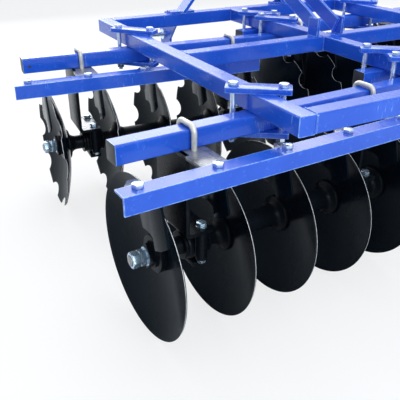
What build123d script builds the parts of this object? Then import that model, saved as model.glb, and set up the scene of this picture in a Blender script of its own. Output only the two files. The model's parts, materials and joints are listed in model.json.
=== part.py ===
from build123d import *
import math
import os

# Tandem disc harrow for a three-point hitch.  Millimetres.
# X is across the machine (right is +), Y is the way of travel, Z is up from the ground.
# The origin is on the ground, under the middle of the machine's plan.
# Four gangs of five discs hang under two pairs of skewed beams.  The two beams of a pair
# run past each other at the centre rail, so the right half sits ahead of the left half.

# Driving dimensions
TUBE = 51.0                 # side of every square frame tube
TUBE_CORNER = 5.0
RAIL_SPACING = 600.0        # centre rail to side rail
RAIL_LENGTH = 1320.0
FRAME_SHIFT_Y = -36.0       # middle of the rails from the origin
DISC_R = 230.0
DISC_DISH = 50.0            # how far the rim stands out from the flat centre
DISC_THICK = 4.0
DISC_FLAT_R = 55.0
DISC_PITCH = 200.0
DISCS_PER_GANG = 5
OUTER_HUB = 888.0           # outermost disc's flat centre, along the gang from the centre rail
BEAM_UNDERSIDE = 525.0
BEAM_OUTER = 1012.0         # beam ends, along the gang from the centre rail
BEAM_INNER = -102.0
AXIS_AHEAD = 20.0           # gang axis ahead of the beam's centre line

BEAM_TOP = BEAM_UNDERSIDE + TUBE
RAIL_TOP = BEAM_TOP + TUBE
RAIL_END = RAIL_LENGTH / 2
AXIS_Z = DISC_R
HUBS = [OUTER_HUB - DISC_PITCH * i for i in range(DISCS_PER_GANG)]
INNER_HUB = HUBS[-1]

# side is -1 on the left; cross_y is where the beam's centre line meets the centre rail;
# angle swings the outer end forward; clamp_turn turns the clamps on its rails;
# washer_turn is how far the gang's square washers have rolled round
GANGS = {
    "front_left": dict(side=-1, cross_y=301.0, angle=4.5, notched=True, clamp_turn=-50.0, washer_turn=5.0),
    "front_right": dict(side=1, cross_y=425.0, angle=4.5, notched=True, clamp_turn=-50.0, washer_turn=20.0),
    "rear_left": dict(side=-1, cross_y=-425.0, angle=-3.0, notched=False, clamp_turn=-36.0, washer_turn=34.0),
    "rear_right": dict(side=1, cross_y=-301.0, angle=-3.0, notched=False, clamp_turn=-36.0, washer_turn=12.0),
}

NOTCHES = 10
NOTCH_R = 42.0
NOTCH_CENTRE_R = 245.0

SHAFT = 28.0                # square gang bolt
SHAFT_HOLE = SHAFT + 0.2
NECK_R = 32.0
CARRIED_NECK_R = 26.0       # neck of a spool that turns in a bearing
FLANGE_R = 55.0
FLANGE_THICK = 10.0
FLANGE_TAPER = 24.0
COLLAR_R = 40.0
COLLAR_THICK = 8.0
END_CASTING_THICK = 16.0
WASHER_SIDE = 66.0
WASHER_THICK = 10.0
NUT_ACROSS = 46.0
NUT_THICK = 24.0

# bearings and hangers, placed along the gang by their distance from the centre rail
BEARING_S = [OUTER_HUB - DISC_PITCH / 2, OUTER_HUB - 3.5 * DISC_PITCH]
HOUSING_WIDTH = 62.0
HOUSING_R = 45.0
BORE_CLEARANCE = 0.05
BOSS_R = 16.0
BOSS_LOW = 203.0
BOSS_OUT = 50.0             # each upright boss from the gang's axis
HOUSING_BOLT_R = 7.0
HANGER_PLATE = 10.0
HANGER_INNER = 12.0         # foot's inner edge inboard of the bearing
HANGER_OUTER = 60.0         # leg's outer face outboard of the bearing
HANGER_LOW = 292.0          # underside of the flange on the bearing
HANGER_BEND = 12.0
LEG_WIDTH = 150.0
FLANGE_INNER = 20.0         # flange's inner edge inboard of the bearing
U_BOLT_OUT = 25.0           # U-bolt outboard of the bearing
U_ROD_R = 7.5
U_ROD_OUT = 35.0            # each leg from the beam's centre line
U_CLEARANCE = 1.5           # crown above the beam
U_BEND = 17.0
BRACKET_PLATE = 12.0

# scraper bar: an angle behind the beam, and its scrapers
ANGLE = 45.0
ANGLE_THICK = 5.0
BAR_REAR = -178.0
BAR_OUTER = 1065.0
BAR_INNER = 172.0
SCRAPER_BOLT_OUT = 131.0    # scraper bolt outboard of its disc's flat centre
SCRAPER_BOLT_Y = BAR_REAR + 29.0
SCRAPER_FRONT = -88.0
SCRAPER_CUT = -118.0        # where the slanted corner of the foot ends
BLADE_OUT = 76.0            # blade outboard of its disc's flat centre
BLADE_THICK = 6.0

# clamps where a beam passes under a rail
CLAMP_LENGTH = 170.0
CLAMP_WIDTH = 50.0
CLAMP_THICK = 14.0
CLAMP_BOLT_OUT = 64.0
CLAMP_BOLT_R = 8.0

# hitch
PIN_R = 11.0
PIN_SPREAD = 683.0          # lower link balls, centre to centre
PIN_LENGTH = 92.0
LOWER_PIN_Z = 527.0
LOWER_PIN_AHEAD = 58.0      # ahead of the front cross rail
MAST_HEIGHT = 460.0         # top link above the lower pins
TOP_BORE_R = 9.75
EAR_GAP = 52.0
MAST_THICK = 14.0
MAST_WIDTH = 64.0
MAST_FOOT = 255.0           # inside of a leg's foot from the middle
MAST_KNEE = 895.0
STAY_THICK = 10.0


def block(x0, x1, y0, y1, z0, z1):
    """A box between two corners."""
    return Pos((x0 + x1) / 2, (y0 + y1) / 2, (z0 + z1) / 2) * Box(x1 - x0, y1 - y0, z1 - z0)


def rod_x(x0, x1, y, z, r):
    return Pos((x0 + x1) / 2, y, z) * Rot(0, 90, 0) * Cylinder(r, x1 - x0)


def rod_z(z0, z1, x, y, r):
    return Pos(x, y, (z0 + z1) / 2) * Cylinder(r, z1 - z0)


def hexagon_x(x0, x1, y, z, across):
    """A hexagon prism along X."""
    prism = extrude(RegularPolygon(across / 2, 6, major_radius=False), x1 - x0)
    return Pos(x0, y, z) * Rot(0, 90, 0) * prism


def hexagon_z(z0, z1, x, y, across):
    prism = extrude(RegularPolygon(across / 2, 6, major_radius=False), z1 - z0)
    return Pos(x, y, z0) * prism


def profile_yz(points, x0, x1):
    """A flat outline in Y and Z, extruded from x0 to x1."""
    face = make_face(Polyline(*[(x0, y, z) for y, z in points], close=True))
    return extrude(face, x1 - x0, dir=(1, 0, 0))


def tube_x(x0, x1, y, z):
    """Square tube along X, solid, with rounded corners."""
    h = TUBE / 2
    bar = block(x0, x1, y - h, y + h, z - h, z + h)
    return fillet(bar.edges().filter_by(Axis.X), TUBE_CORNER)


def place(shape, gang):
    """Moves a piece from the gang's own frame (X outward, Y forward) into the machine."""
    side = gang["side"]
    if side < 0:
        shape = mirror(shape, about=Plane.YZ)
    return Pos(0, gang["cross_y"] + FRAME_SHIFT_Y, 0) * Rot(0, 0, side * gang["angle"]) * shape


def turned(points):
    """A solid of revolution about the gang's axis, from (distance along, radius) points."""
    outline = make_face(Polyline(*[(s, AXIS_AHEAD + r, AXIS_Z) for s, r in points], close=True))
    axis = Axis((0, AXIS_AHEAD, AXIS_Z), (1, 0, 0))
    return revolve(outline, axis)


def square_hole(s0, s1, side):
    return block(s0, s1, AXIS_AHEAD - side / 2, AXIS_AHEAD + side / 2, AXIS_Z - side / 2, AXIS_Z + side / 2)


# ---- rolling gangs ----

def dish_height(r):
    """How far the dish has risen from the flat centre, at radius r."""
    return DISC_DISH * (r ** 2 - DISC_FLAT_R ** 2) / (DISC_R ** 2 - DISC_FLAT_R ** 2)


def disc(hub, notched):
    middle = (DISC_FLAT_R + DISC_R) / 2
    y, z = AXIS_AHEAD, AXIS_Z

    def at(r, s):
        return (hub + s, y + r, z)

    back = ThreePointArc(at(DISC_FLAT_R, 0), at(middle, dish_height(middle)), at(DISC_R, DISC_DISH))
    front = ThreePointArc(at(DISC_FLAT_R, DISC_THICK), at(middle, DISC_THICK + dish_height(middle)),
                          at(DISC_R, DISC_THICK + DISC_DISH))
    rim = Line(at(DISC_R, DISC_DISH), at(DISC_R, DISC_DISH + DISC_THICK))
    centre = Polyline(at(DISC_FLAT_R, DISC_THICK), at(0, DISC_THICK), at(0, 0), at(DISC_FLAT_R, 0))
    outline = make_face(Curve() + [back, rim, front, centre])
    shape = revolve(outline, Axis((0, y, z), (1, 0, 0)))
    if notched:
        for i in range(NOTCHES):
            turn = math.radians(360 / NOTCHES * (i + 0.5))
            ny = y + NOTCH_CENTRE_R * math.sin(turn)
            nz = z + NOTCH_CENTRE_R * math.cos(turn)
            shape -= rod_x(hub - 20, hub + DISC_DISH + 30, ny, nz, NOTCH_R)
    return shape - square_hole(hub - 5, hub + 10, SHAFT_HOLE)


def spool(inner_hub, outer_hub, carried):
    """A cast spool between two discs; a carried one has collars beside its bearing."""
    a = inner_hub + DISC_THICK
    b = outer_hub
    neck = CARRIED_NECK_R if carried else NECK_R
    points = [(a, 0), (a, FLANGE_R), (a + FLANGE_THICK, FLANGE_R), (a + FLANGE_THICK + FLANGE_TAPER, neck)]
    if carried:
        middle = (inner_hub + outer_hub) / 2
        gap = HOUSING_WIDTH / 2 + 3
        for s, way in ((middle - gap, -1), (middle + gap, 1)):
            near, far = sorted((s, s + way * COLLAR_THICK))
            points += [(near, neck), (near, COLLAR_R), (far, COLLAR_R), (far, neck)]
    points += [(b - FLANGE_THICK - FLANGE_TAPER, neck), (b - FLANGE_THICK, FLANGE_R), (b, FLANGE_R), (b, 0)]
    return turned(points) - square_hole(a - 5, b + 5, SHAFT_HOLE)


def end_casting(s0, s1):
    dome = turned([(s0, 0), (s0, FLANGE_R - 3), (s1, FLANGE_R - 9), (s1, 0)])
    return dome - square_hole(s0 - 5, s1 + 5, SHAFT_HOLE)


def gang_spools():
    spools = []
    for i in range(DISCS_PER_GANG - 1):
        middle = (HUBS[i] + HUBS[i + 1]) / 2
        spools.append(spool(HUBS[i + 1], HUBS[i], middle in BEARING_S))
    outer = HUBS[0] + DISC_THICK
    spools.append(end_casting(outer, outer + END_CASTING_THICK))
    inner = mirror(end_casting(0, END_CASTING_THICK), about=Plane.YZ)
    spools.append(Pos(INNER_HUB, 0, 0) * inner)
    return Compound(spools)


def gang_bolt(washer_turn):
    outer = HUBS[0] + DISC_THICK + END_CASTING_THICK
    inner = INNER_HUB - END_CASTING_THICK
    y, z = AXIS_AHEAD, AXIS_Z
    shaft = square_hole(inner - WASHER_THICK - 5, outer + WASHER_THICK + 5, SHAFT)
    shaft += rod_x(outer + WASHER_THICK, outer + WASHER_THICK + 2 * NUT_THICK + 12, y, z, SHAFT / 2)
    shaft += rod_x(inner - WASHER_THICK - NUT_THICK - 8, inner - WASHER_THICK, y, z, SHAFT / 2)
    washer = Box(WASHER_THICK, WASHER_SIDE, WASHER_SIDE)
    for s in (outer + WASHER_THICK / 2, inner - WASHER_THICK / 2):
        shaft += Pos(s, y, z) * Rot(washer_turn, 0, 0) * washer
    nut = outer + WASHER_THICK
    shaft += hexagon_x(nut, nut + NUT_THICK, y, z, NUT_ACROSS)
    shaft += hexagon_x(nut + NUT_THICK + 1, nut + 2 * NUT_THICK + 1, y, z, NUT_ACROSS)
    shaft += hexagon_x(inner - WASHER_THICK - NUT_THICK, inner - WASHER_THICK, y, z, NUT_ACROSS)
    return shaft


# ---- what carries a gang ----

def beam():
    """Square tube with capped ends."""
    return tube_x(BEAM_INNER, BEAM_OUTER, 0, BEAM_UNDERSIDE + TUBE / 2)


def scraper_bar():
    top = BEAM_UNDERSIDE + ANGLE_THICK
    flat = block(BAR_INNER, BAR_OUTER, BAR_REAR, BAR_REAR + ANGLE, BEAM_UNDERSIDE, top)
    return flat + block(BAR_INNER, BAR_OUTER, BAR_REAR, BAR_REAR + ANGLE_THICK, top - ANGLE, top)


def scraper(hub):
    """Foot under the bar's top flange, and a blade that hangs beside the disc's hollow face."""
    bolt_s = hub + SCRAPER_BOLT_OUT
    shares_bolt = any(-HANGER_INNER < bolt_s - s < HANGER_OUTER for s in BEARING_S)
    top = BEAM_UNDERSIDE - HANGER_PLATE if shares_bolt else BEAM_UNDERSIDE
    low = top - BLADE_THICK
    rear = BAR_REAR + ANGLE_THICK
    blade = [(-143, top), (-153, 480), (-189, 358), (-128, 318), (-89, 480), (SCRAPER_FRONT, top)]
    s = hub + BLADE_OUT
    shape = profile_yz(blade, s, s + BLADE_THICK)
    out = bolt_s + 21
    foot = [(s, rear), (s, SCRAPER_FRONT), (out - 26, SCRAPER_FRONT), (out, SCRAPER_CUT), (out, rear)]
    outline = make_face(Polyline(*[(x, y, low) for x, y in foot], close=True))
    shape += extrude(outline, BLADE_THICK, dir=(0, 0, 1))
    return shape + hexagon_z(low - 10, low, bolt_s, SCRAPER_BOLT_Y, 24)


def scrapers():
    return Compound([scraper(hub) for hub in HUBS])


def hanger(s):
    """Plate bent to a C: a foot bolted up under beam and scraper bar, a leg, a flange on the bearing."""
    outer = s + HANGER_OUTER
    y0 = AXIS_AHEAD - LEG_WIDTH / 2
    y1 = AXIS_AHEAD + LEG_WIDTH / 2
    foot = BEAM_UNDERSIDE - HANGER_PLATE
    flange = HANGER_LOW + HANGER_PLATE
    shape = block(outer - HANGER_PLATE, outer, y0, y1, HANGER_LOW, BEAM_UNDERSIDE)
    shape += block(s - FLANGE_INNER, outer, y0, y1, HANGER_LOW, flange)
    bend = shape.edges().filter_by(Axis.Y).sort_by(lambda edge: edge.center().X - edge.center().Z)[-1]
    shape = fillet(bend, HANGER_BEND)
    shape += block(s - HANGER_INNER, outer, BAR_REAR + ANGLE_THICK, y1, foot, BEAM_UNDERSIDE)
    for y in (-U_ROD_OUT, U_ROD_OUT):
        shape -= rod_z(foot - 1, BEAM_UNDERSIDE + 1, s + U_BOLT_OUT, y, U_ROD_R + 0.5)
    for way in (-1, 1):
        y = AXIS_AHEAD + way * BOSS_OUT
        shape -= rod_z(HANGER_LOW - 1, flange + 1, s, y, HOUSING_BOLT_R + 0.5)
    return shape


def u_bolt(s):
    x = s + U_BOLT_OUT
    y = U_ROD_OUT
    under = BEAM_UNDERSIDE - HANGER_PLATE
    low = under - 22
    crown = BEAM_TOP + U_ROD_R + U_CLEARANCE
    path = FilletPolyline((x, -y, low), (x, -y, crown), (x, y, crown), (x, y, low), radius=U_BEND)
    rod = sweep(Plane(origin=path @ 0, z_dir=path % 0) * Circle(U_ROD_R), path=path)
    for way in (-1, 1):
        rod += hexagon_z(under - 12, under, x, way * y, 24)
    return rod


def bearing(s):
    """Cast housing round a spool, hung by two upright bolts from the hanger's flange."""
    y, z = AXIS_AHEAD, AXIS_Z
    half = HOUSING_WIDTH / 2
    web = BOSS_R + 4
    flange = HANGER_LOW + HANGER_PLATE
    shape = rod_x(s - half, s + half, y, z, HOUSING_R)
    shape += block(s - web, s + web, y - BOSS_OUT, y + BOSS_OUT, z - web, HANGER_LOW)
    shape += block(s - web, s + web, y - 42, y + 42, z - HOUSING_R - 10, z - HOUSING_R + 4)
    for way in (-1, 1):
        out = y + way * BOSS_OUT
        shape += rod_z(BOSS_LOW, HANGER_LOW, s, out, BOSS_R)
        shape += rod_z(HANGER_LOW, flange + 4, s, out, HOUSING_BOLT_R)
        shape += hexagon_z(flange, flange + 14, s, out, 24)
        shape += hexagon_z(BOSS_LOW - 12, BOSS_LOW, s, out, 24)
    return shape - rod_x(s - half - 1, s + half + 1, y, z, CARRIED_NECK_R + BORE_CLEARANCE)


def clamp(x, y, turn):
    """Two plates that squeeze a rail and the beam under it, drawn together by two bolts."""
    low = BEAM_UNDERSIDE - CLAMP_THICK
    high = RAIL_TOP + CLAMP_THICK
    half = CLAMP_LENGTH / 2
    w = CLAMP_WIDTH / 2
    shape = block(-half, half, -w, w, low, BEAM_UNDERSIDE)
    shape += block(-half, half, -w, w, RAIL_TOP, high)
    for way in (-1, 1):
        out = way * CLAMP_BOLT_OUT
        shape += rod_z(low - 24, high, out, 0, CLAMP_BOLT_R)
        shape += hexagon_z(low - 14, low, out, 0, 24)
        shape += hexagon_z(high, high + 11, out, 0, 24)
    return Pos(x, y, 0) * Rot(0, 0, turn) * shape


def beam_y(gang, x):
    """Where a beam's centre line crosses the rail at x."""
    return FRAME_SHIFT_Y + gang["cross_y"] + gang["side"] * x * math.tan(math.radians(gang["angle"]))


# ---- frame ----

def rail(x):
    h = TUBE / 2
    bar = block(x - h, x + h, FRAME_SHIFT_Y - RAIL_END, FRAME_SHIFT_Y + RAIL_END, BEAM_TOP, RAIL_TOP)
    return fillet(bar.edges().filter_by(Axis.Y), TUBE_CORNER)


def cross_rails(y):
    """A cross rail in two halves, welded between the rails."""
    h = TUBE / 2
    halves = []
    for x0, x1 in ((-RAIL_SPACING, 0), (0, RAIL_SPACING)):
        halves.append(tube_x(x0 + h, x1 - h, y, BEAM_TOP + h))
    return Compound(halves)


FRONT_FACE = FRAME_SHIFT_Y + RAIL_END
PIN_Y = FRONT_FACE + LOWER_PIN_AHEAD
TOP_PIN_Z = LOWER_PIN_Z + MAST_HEIGHT
EAR_INNER = EAR_GAP / 2


def lower_bracket(side):
    """Plate on the front cross rail that carries a lower link pin."""
    inner = PIN_SPREAD / 2 - 34
    plate = [(FRONT_FACE, RAIL_TOP), (FRONT_FACE, BEAM_TOP - 72), (PIN_Y - 30, LOWER_PIN_Z - 42),
             (PIN_Y + 30, LOWER_PIN_Z - 42), (PIN_Y + 38, LOWER_PIN_Z + 20), (FRONT_FACE + 40, RAIL_TOP)]
    shape = profile_yz(plate, inner - BRACKET_PLATE, inner)
    rear = [(FRONT_FACE, BEAM_TOP), (FRONT_FACE - TUBE, BEAM_TOP), (FRONT_FACE, BEAM_TOP - 60)]
    shape += profile_yz(rear, inner - BRACKET_PLATE, inner)
    shape -= rod_x(inner - BRACKET_PLATE - 1, inner + 1, PIN_Y, LOWER_PIN_Z, PIN_R + BORE_CLEARANCE)
    return shape if side > 0 else mirror(shape, about=Plane.YZ)


def lower_pin(side):
    """Pin with a shoulder outside its plate and a nut inside it."""
    inner = PIN_SPREAD / 2 - 34
    shape = rod_x(inner - BRACKET_PLATE - 22, inner + PIN_LENGTH, PIN_Y, LOWER_PIN_Z, PIN_R)
    shape += rod_x(inner, inner + 8, PIN_Y, LOWER_PIN_Z, 22)
    shape += hexagon_x(inner - BRACKET_PLATE - 18, inner - BRACKET_PLATE, PIN_Y, LOWER_PIN_Z, 36)
    shape -= rod_z(LOWER_PIN_Z - 20, LOWER_PIN_Z + 20, inner + PIN_LENGTH - 14, PIN_Y, 5.5)
    return shape if side > 0 else mirror(shape, about=Plane.YZ)


def slanted_bar(start, end, width, thick, across):
    """A flat bar between two points; across is the direction of its thickness."""
    a, b = Vector(*start), Vector(*end)
    middle = (a + b) * 0.5
    plane = Plane(origin=middle, x_dir=across, z_dir=(b - a).normalized())
    return plane * Box(thick, width, (b - a).length)


def mast_legs():
    """The two legs of the A-shaped mast; their upright heads carry the top link's pin."""
    y = FRONT_FACE - TUBE / 2
    out = EAR_INNER + MAST_THICK
    slope = (MAST_FOOT - EAR_INNER) / (MAST_KNEE - RAIL_TOP)
    lean = MAST_THICK * math.hypot(1, slope)
    outer_knee = RAIL_TOP + (MAST_FOOT + lean - out) / slope
    head = TOP_PIN_Z + 32
    points = [(MAST_FOOT, RAIL_TOP), (EAR_INNER, MAST_KNEE), (EAR_INNER, head),
              (out, head), (out, outer_knee), (MAST_FOOT + lean, RAIL_TOP)]
    outline = make_face(Polyline(*[(x, y - MAST_WIDTH / 2, z) for x, z in points], close=True))
    leg = extrude(outline, MAST_WIDTH, dir=(0, 1, 0))
    leg += block(MAST_FOOT - 45, MAST_FOOT + lean + 45, y - TUBE / 2, y + TUBE / 2, RAIL_TOP, RAIL_TOP + 10)
    leg -= rod_x(EAR_INNER - 1, out + 1, y, TOP_PIN_Z, TOP_BORE_R)
    return Compound([mirror(leg, about=Plane.YZ), leg])


def mast_stays():
    """Flat stays from the mast's head back to lugs on the middle cross rail."""
    y = FRONT_FACE - TUBE / 2
    x = EAR_INNER + MAST_THICK + STAY_THICK / 2
    head = (x, y - 6, TOP_PIN_Z - 32)
    foot = (x, FRAME_SHIFT_Y, RAIL_TOP + 30)
    stay = slanted_bar(head, foot, 50, STAY_THICK, (1, 0, 0))
    lug = x + STAY_THICK / 2
    h = TUBE / 2
    stay += block(lug, lug + STAY_THICK, FRAME_SHIFT_Y - h, FRAME_SHIFT_Y + h, RAIL_TOP, RAIL_TOP + 62)
    return Compound([mirror(stay, about=Plane.YZ), stay])


def build():
    nodes = {
        "side_rail_left": rail(-RAIL_SPACING),
        "centre_rail": rail(0),
        "side_rail_right": rail(RAIL_SPACING),
        "front_cross_rails": cross_rails(FRAME_SHIFT_Y + RAIL_END - TUBE / 2),
        "middle_cross_rails": cross_rails(FRAME_SHIFT_Y),
        "rear_cross_rails": cross_rails(FRAME_SHIFT_Y - RAIL_END + TUBE / 2),
        "mast_legs": mast_legs(),
        "mast_stays": mast_stays(),
        "lower_link_brackets": Compound([lower_bracket(-1), lower_bracket(1)]),
        "lower_link_pins": Compound([lower_pin(-1), lower_pin(1)]),
    }
    clamps = []
    u_bolts = []
    for name, gang in GANGS.items():
        discs = Compound([disc(hub, gang["notched"]) for hub in HUBS])
        nodes["discs_" + name] = place(discs, gang)
        nodes["spools_" + name] = place(gang_spools(), gang)
        nodes["gang_bolt_" + name] = place(gang_bolt(gang["washer_turn"]), gang)
        nodes["beam_" + name] = place(beam(), gang)
        nodes["scraper_bar_" + name] = place(scraper_bar(), gang)
        nodes["scrapers_" + name] = place(scrapers(), gang)
        nodes["hangers_" + name] = place(Compound([hanger(s) for s in BEARING_S]), gang)
        nodes["bearings_" + name] = place(Compound([bearing(s) for s in BEARING_S]), gang)
        for s in BEARING_S:
            u_bolts.append(place(u_bolt(s), gang))
        for x in (0, gang["side"] * RAIL_SPACING):
            clamps.append(clamp(x, beam_y(gang, x), gang["clamp_turn"]))
    nodes["hanger_u_bolts"] = Compound(u_bolts)
    nodes["rail_clamps"] = Compound(clamps)
    return nodes


os.makedirs("parts", exist_ok=True)
for name, shape in build().items():
    export_step(shape, "parts/" + name + ".step")
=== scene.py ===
import json
import math
import random

import bmesh
import bpy
from mathutils import Matrix, Vector, noise

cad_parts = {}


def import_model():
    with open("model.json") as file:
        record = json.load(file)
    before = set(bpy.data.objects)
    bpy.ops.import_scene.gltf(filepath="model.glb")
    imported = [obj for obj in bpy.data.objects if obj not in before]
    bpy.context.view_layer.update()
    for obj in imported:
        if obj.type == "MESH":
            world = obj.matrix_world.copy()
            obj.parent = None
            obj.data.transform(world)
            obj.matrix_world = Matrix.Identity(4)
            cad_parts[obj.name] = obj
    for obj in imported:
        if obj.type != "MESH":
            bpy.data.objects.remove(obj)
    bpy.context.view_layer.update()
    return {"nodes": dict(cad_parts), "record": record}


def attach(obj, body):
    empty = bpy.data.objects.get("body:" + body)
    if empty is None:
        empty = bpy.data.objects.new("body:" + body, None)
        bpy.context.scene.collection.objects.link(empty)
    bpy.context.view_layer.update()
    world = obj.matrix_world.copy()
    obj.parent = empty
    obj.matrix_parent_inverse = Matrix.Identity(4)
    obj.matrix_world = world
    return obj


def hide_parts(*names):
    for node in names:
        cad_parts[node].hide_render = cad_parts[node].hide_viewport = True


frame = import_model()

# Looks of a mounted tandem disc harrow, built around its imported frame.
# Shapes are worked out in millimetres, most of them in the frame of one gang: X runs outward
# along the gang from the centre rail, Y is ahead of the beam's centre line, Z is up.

random.seed(4)
noise.seed_set(4)
MM = 0.001

# Sizes that follow the frame
TUBE = 51.0
BEAM_UNDERSIDE = 525.0
BEAM_TOP = BEAM_UNDERSIDE + TUBE
RAIL_TOP = BEAM_TOP + TUBE
RAIL_X = 600.0
RAIL_END = 660.0
SHIFT_Y = -36.0
AXIS_Y, AXIS_Z = 20.0, 230.0
DISC_R, DISC_DISH, DISC_THICK, DISC_FLAT_R = 230.0, 50.0, 4.0, 55.0
EDGE_WIDTH = 1.8            # thickness of a disc's bare cut edge
GROUND_BACK = 1.6           # how far the back is ground in from the rim
HUBS = [888.0 - 200.0 * i for i in range(5)]
END_REACH = 25.0            # outer end casting, from the disc to the square washer
BEARINGS = [788.0, 188.0]
NOTCHES, NOTCH_R, NOTCH_CENTRE_R = 10, 42.0, 245.0
HOLE_R = 18.0               # each disc starts here, under its spools
BEAM_OUTER, BEAM_INNER = 1012.0, -102.0
BAR_REAR = -178.0
CAP_CORNER = 5.0
SCRAPER_BOLT_OUT, SCRAPER_FRONT, BLADE_OUT, INNER_SWING = 131.0, -98.0, 76.0, 55.0
HANGER_PLATE = 10.0
HANGER_INNER, HANGER_OUTER = 12.0, 60.0
HANGER_LOW = 292.0
LEG_Y0, LEG_Y1 = AXIS_Y - 75.0, AXIS_Y + 75.0
BOSS_OUT, BOSS_LOW = 50.0, 203.0
U_BOLT_OUT, U_ROD_R, U_ROD_OUT, U_BEND = 25.0, 7.5, 35.0, 17.0

# Gang shaft, spools and end castings
SHAFT_HALF, SHAFT_TIP_R = 14.0, 13.0
NECK_R, CARRIED_NECK_R, FLANGE_R, FLANGE_THICK = 32.0, 26.0, 55.0, 10.0
COLLAR_R, COLLAR_FROM, COLLAR_TO = 40.0, 31.0, 40.0
CASTING_R, CASTING_BOSS_R, CASTING_FACE = 53.0, 37.0, 18.0
INNER_CASTING = 16.0
SQUARE_HALF, SQUARE_THICK = 28.0, 11.0
SHAFT_NUT, INNER_NUT = 41.0, 46.0

# Bolts, clamps and scrapers
BOLT_ACROSS, BOLT_R, WASHER_R = 24.0, 7.5, 15.0
CLAMP_HALF, CLAMP_SIDE, CLAMP_THICK, CLAMP_BOLT_OUT = 85.0, 25.0, 14.0, 64.0
BLADE_THICK, SCRAPER_BOLT_IN = 6.0, 29.0
BEND_Z = 500.0              # below this height an inner scraper's blade is swung forward

# The four gangs: where each beam crosses the centre rail, its angle, and how its pieces are turned
COLUMNS = ("side", "cross_y", "angle", "notched", "clamp_turn", "washer_turn")
ROWS = {
    "front_left": (-1, 301.0, 4.5, True, -50.0, 5.0),
    "front_right": (1, 425.0, 4.5, True, -50.0, 20.0),
    "rear_left": (-1, -425.0, -3.0, False, -36.0, 43.0),
    "rear_right": (1, -301.0, -3.0, False, -36.0, 12.0),
}
GANGS = {name: dict(zip(COLUMNS, row)) for name, row in ROWS.items()}


# ---------------------------------------------------------------- materials

def material(name, color, rough, metal=0.0, coat=0.0, specular=0.5):
    """A principled material and its tree; constants sit on the shader's own sockets."""
    mat = bpy.data.materials.new(name)
    mat.use_nodes = True
    tree = mat.node_tree
    bsdf = tree.nodes["Principled BSDF"]
    bsdf.inputs["Base Color"].default_value = (*color, 1)
    bsdf.inputs["Roughness"].default_value = rough
    bsdf.inputs["Metallic"].default_value = metal
    bsdf.inputs["Coat Weight"].default_value = coat
    bsdf.inputs["Coat Roughness"].default_value = 0.06
    bsdf.inputs["Specular IOR Level"].default_value = specular
    return mat, tree, bsdf


def add_noise(tree, scale, detail=4.0, rough=0.55, stretch=(1, 1, 1), low=0.4, high=0.6):
    """Noise in the object's own space, sharpened between low and high; returns its output."""
    coords = tree.nodes.new("ShaderNodeTexCoord")
    mapping = tree.nodes.new("ShaderNodeMapping")
    mapping.inputs["Scale"].default_value = stretch
    tree.links.new(coords.outputs["Object"], mapping.inputs["Vector"])
    tex = tree.nodes.new("ShaderNodeTexNoise")
    tex.inputs["Scale"].default_value = scale
    tex.inputs["Detail"].default_value = detail
    tex.inputs["Roughness"].default_value = rough
    tree.links.new(mapping.outputs["Vector"], tex.inputs["Vector"])
    ramp = tree.nodes.new("ShaderNodeMapRange")
    ramp.inputs["From Min"].default_value = low
    ramp.inputs["From Max"].default_value = high
    tree.links.new(tex.outputs["Fac"], ramp.inputs["Value"])
    return ramp.outputs["Result"]


def mix_color(tree, factor, a, b):
    """Mixes two colours, or a colour socket with a colour, by a factor socket."""
    mix = tree.nodes.new("ShaderNodeMix")
    mix.data_type = "RGBA"
    tree.links.new(factor, mix.inputs["Factor"])
    for socket, value in ((mix.inputs[6], a), (mix.inputs[7], b)):
        if isinstance(value, tuple):
            socket.default_value = (*value, 1)
        else:
            tree.links.new(value, socket)
    return mix.outputs[2]


def vary_rough(tree, bsdf, factor, low, high):
    ramp = tree.nodes.new("ShaderNodeMapRange")
    ramp.inputs["To Min"].default_value = low
    ramp.inputs["To Max"].default_value = high
    tree.links.new(factor, ramp.inputs["Value"])
    tree.links.new(ramp.outputs["Result"], bsdf.inputs["Roughness"])


def add_bump(tree, bsdf, height, distance, strength=1.0, before=None):
    bump = tree.nodes.new("ShaderNodeBump")
    bump.inputs["Strength"].default_value = strength
    bump.inputs["Distance"].default_value = distance
    tree.links.new(height, bump.inputs["Height"])
    if before is not None:
        tree.links.new(before, bump.inputs["Normal"])
    tree.links.new(bump.outputs["Normal"], bsdf.inputs["Normal"])
    return bump.outputs["Normal"]


def edge_wear_and_highlight(tree, radius, low, high):
    """A mask along edges and seams, from how far a rounded normal leans off the true one."""
    soft = tree.nodes.new("ShaderNodeBevel")
    soft.samples = 6
    soft.inputs["Radius"].default_value = radius
    true = tree.nodes.new("ShaderNodeNewGeometry")
    dot = tree.nodes.new("ShaderNodeVectorMath")
    dot.operation = "DOT_PRODUCT"
    tree.links.new(soft.outputs["Normal"], dot.inputs[0])
    tree.links.new(true.outputs["Normal"], dot.inputs[1])
    ramp = tree.nodes.new("ShaderNodeMapRange")
    ramp.inputs["From Min"].default_value = high
    ramp.inputs["From Max"].default_value = low
    tree.links.new(dot.outputs["Value"], ramp.inputs["Value"])
    return ramp.outputs["Result"]


def product(tree, a, b):
    """One mask times another."""
    node = tree.nodes.new("ShaderNodeMath")
    node.operation = "MULTIPLY"
    tree.links.new(a, node.inputs[0])
    tree.links.new(b, node.inputs[1])
    return node.outputs["Value"]


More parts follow.
